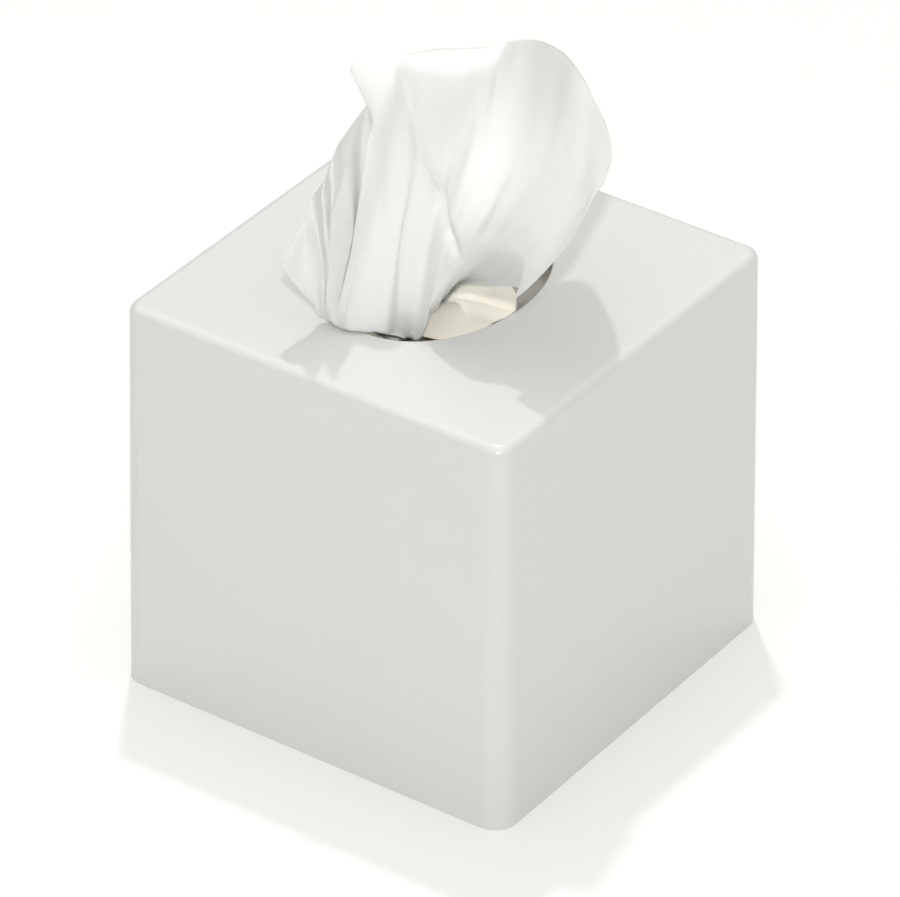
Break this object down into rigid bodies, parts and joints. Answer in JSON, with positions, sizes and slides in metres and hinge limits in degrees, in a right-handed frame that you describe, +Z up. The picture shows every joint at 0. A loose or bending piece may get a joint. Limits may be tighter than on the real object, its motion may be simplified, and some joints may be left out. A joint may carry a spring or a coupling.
{
  "type": "tissue box",
  "caption": "Cube tissue box: a moulded glossy cover with an oval opening, dropped over a card carton of pop-up tissues, one of them pulled up.",
  "frame": {"origin": "middle of the cover's open foot, on the surface that it stands on", "axes": "+Z up; +Y along the long axis of the oval opening; -Y is the front face; +X is the right face"},
  "size_m": [0.1358, 0.1358, 0.2046],
  "materials": {
    "cover_plastic": "moulded, polished",
    "carton_card": "uncoated folding card",
    "clear_film": "thin clear polythene film",
    "tissue_paper": "soft two-ply crepe"
  },
  "bodies": {
    "root": {"cover": "cover_plastic", "carton": "carton_card", "slit_film": "clear_film", "tissue_pile": "tissue_paper", "pulled_tissue": "tissue_paper", "next_tissue": "tissue_paper"}
  },
  "joints": []
}
